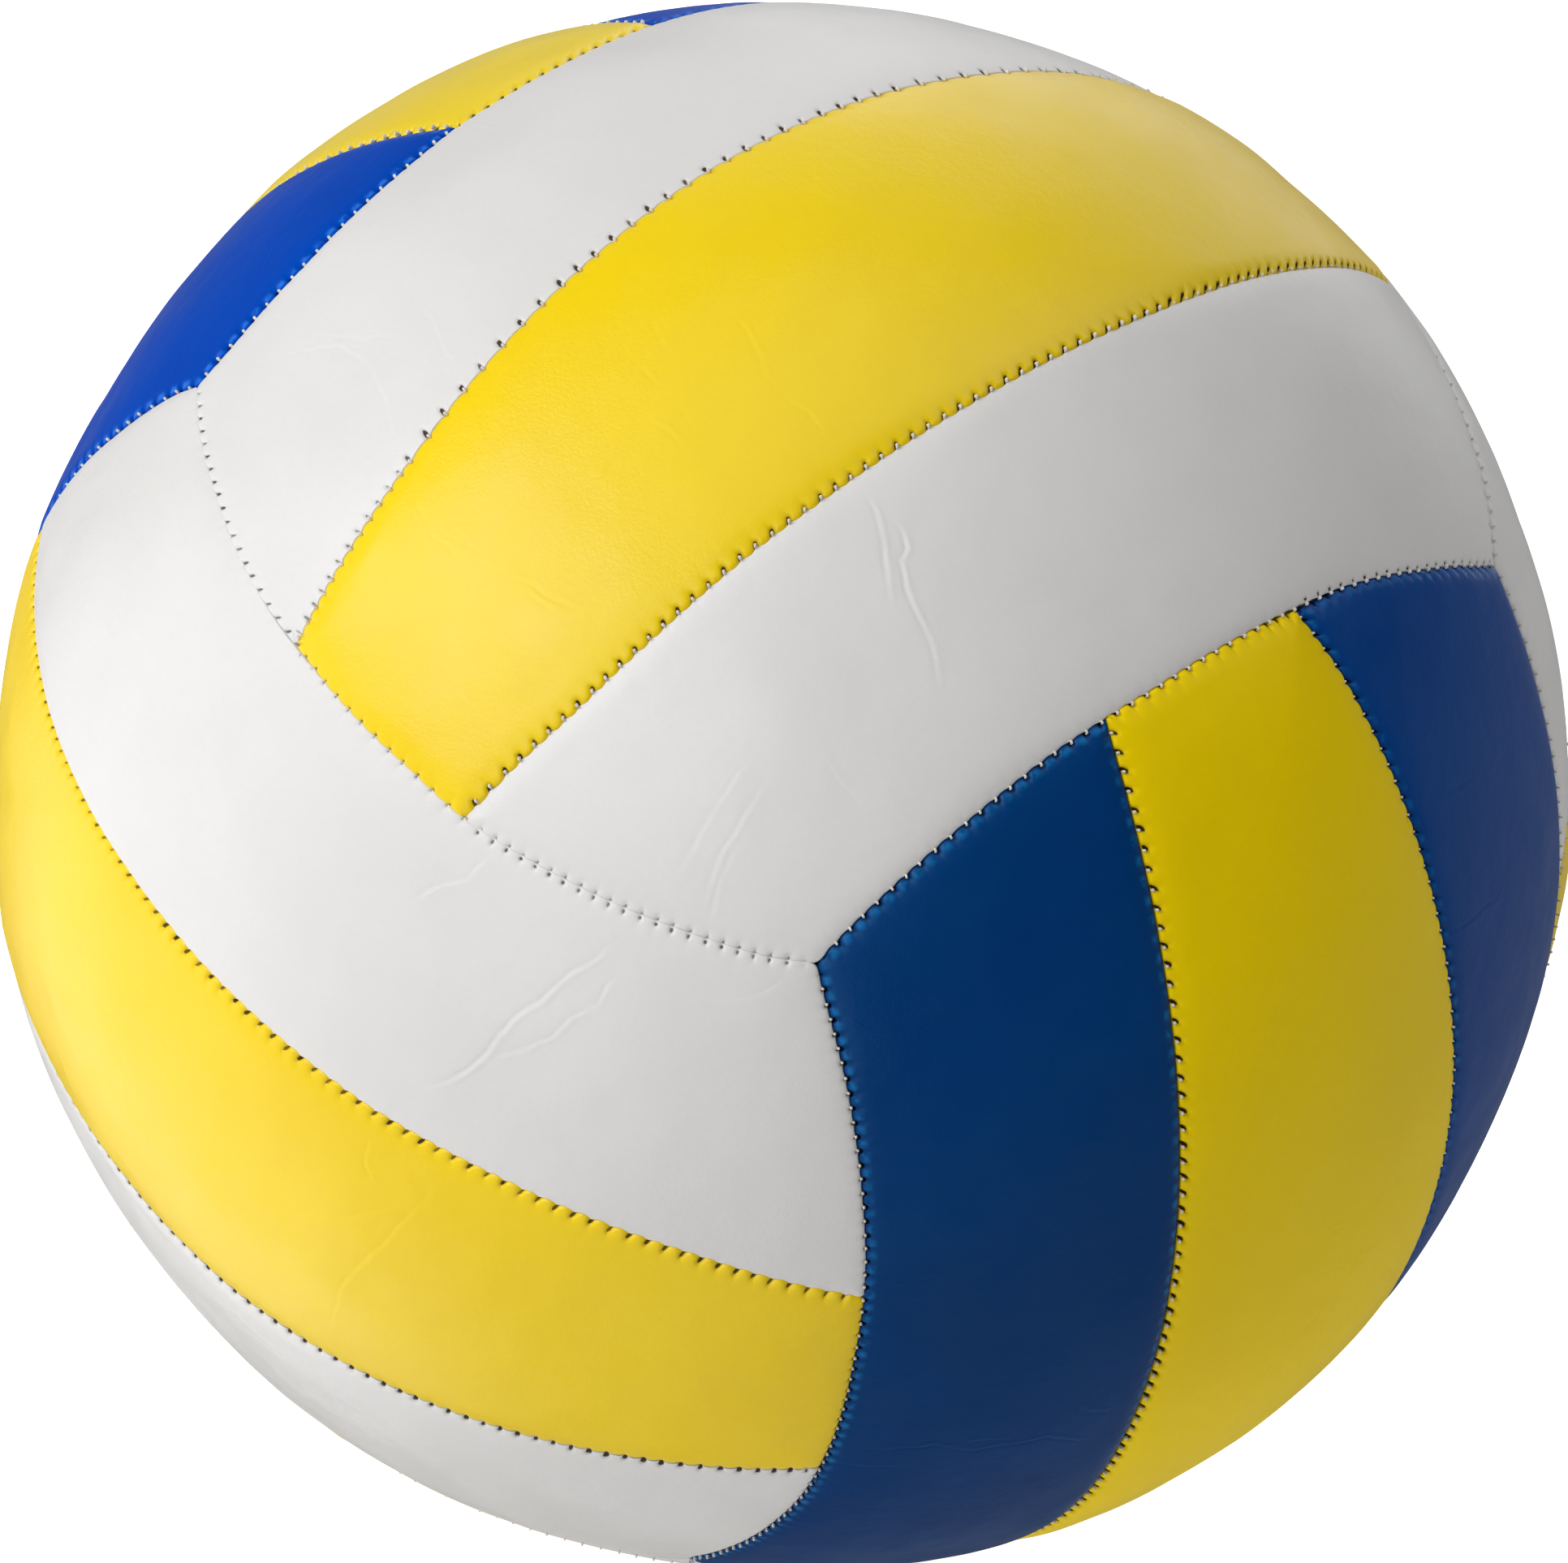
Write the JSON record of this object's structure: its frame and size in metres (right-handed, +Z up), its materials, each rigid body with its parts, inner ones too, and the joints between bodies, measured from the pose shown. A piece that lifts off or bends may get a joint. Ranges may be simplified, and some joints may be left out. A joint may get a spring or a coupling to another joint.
{
  "type": "volleyball",
  "caption": "Inflated volleyball of curved leather strips in square groups, with sewn turned-in seams, foam backing, a rubber bladder and a recessed needle valve.",
  "frame": {"origin": "centre of the ball", "axes": "+Z up, out of the middle of the top group of strips, which run along Y. +Y out of the middle of the back group of strips, along the valve. +X out of the middle of the right group of strips"},
  "size_m": [0.21, 0.2099, 0.21],
  "materials": {
    "leather_white": "satin, fine grain",
    "leather_yellow": "satin, fine grain",
    "leather_blue": "satin, fine grain",
    "backing_foam": "matt foam and cloth",
    "thread": "twisted thread",
    "bladder_rubber": "matt",
    "seat_rubber": "matt",
    "valve_rubber": "satin",
    "patch_cloth": "matt woven cloth"
  },
  "bodies": {
    "root": {"panel_top_left": "leather_white", "panel_top_centre": "leather_yellow", "panel_top_right": "leather_white", "panel_bottom_right": "leather_white", "panel_bottom_centre": "leather_yellow", "panel_bottom_left": "leather_white", "panel_front_upper": "leather_white", "panel_front_centre": "leather_yellow", "panel_front_lower": "leather_white", "panel_back_lower": "leather_white", "panel_back_centre": "leather_yellow", "panel_back_upper": "leather_white", "panel_right_front": "leather_blue", "panel_right_centre": "leather_yellow", "panel_right_rear": "leather_blue", "panel_left_rear": "leather_blue", "panel_left_centre": "leather_yellow", "panel_left_front": "leather_blue", "backing_top_left": "backing_foam", "backing_top_centre": "backing_foam", "backing_top_right": "backing_foam", "backing_bottom_right": "backing_foam", "backing_bottom_centre": "backing_foam", "backing_bottom_left": "backing_foam", "backing_front_upper": "backing_foam", "backing_front_centre": "backing_foam", "backing_front_lower": "backing_foam", "backing_back_lower": "backing_foam", "backing_back_centre": "backing_foam", "backing_back_upper": "backing_foam", "backing_right_front": "backing_foam", "backing_right_centre": "backing_foam", "backing_right_rear": "backing_foam", "backing_left_rear": "backing_foam", "backing_left_centre": "backing_foam", "backing_left_front": "backing_foam", "stitching_top_strips": "thread", "stitching_bottom_strips": "thread", "stitching_front_strips": "thread", "stitching_back_strips": "thread", "stitching_right_strips": "thread", "stitching_left_strips": "thread", "stitching_top_left": "thread", "stitching_top_right": "thread", "stitching_bottom_right": "thread", "stitching_bottom_left": "thread", "stitching_front_top": "thread", "stitching_front_bottom": "thread", "stitching_back_bottom": "thread", "stitching_back_top": "thread", "stitching_right_front": "thread", "stitching_right_back": "thread", "stitching_left_back": "thread", "stitching_left_front": "thread", "bladder": "bladder_rubber", "valve_seat": "seat_rubber", "valve_core": "valve_rubber", "valve_patch": "patch_cloth"}
  },
  "joints": []
}
